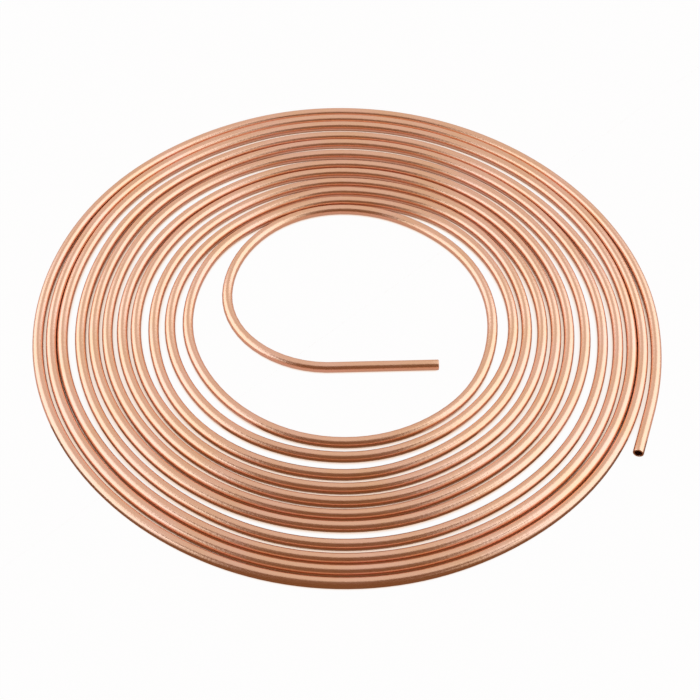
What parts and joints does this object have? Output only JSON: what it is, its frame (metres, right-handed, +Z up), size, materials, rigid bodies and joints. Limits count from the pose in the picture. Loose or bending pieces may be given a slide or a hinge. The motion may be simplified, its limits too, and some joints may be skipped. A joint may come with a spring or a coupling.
{
  "type": "copper tube coil",
  "caption": "Flat open coil of soft drawn copper tube in a single layer, with plain cut ends: one across the eye, one straight outside the last turn.",
  "frame": {"origin": "on the floor, under the middle of the coil's box", "axes": "+Z up out of the coil's plane, +X to the right and +Y to the back, as the coil is seen in the picture"},
  "size_m": [0.2864, 0.2858, 0.0048],
  "materials": {
    "copper": "bright drawn copper, satin, with fine draw lines along the tube"
  },
  "bodies": {
    "root": {"copper_tube": "copper"}
  },
  "joints": []
}
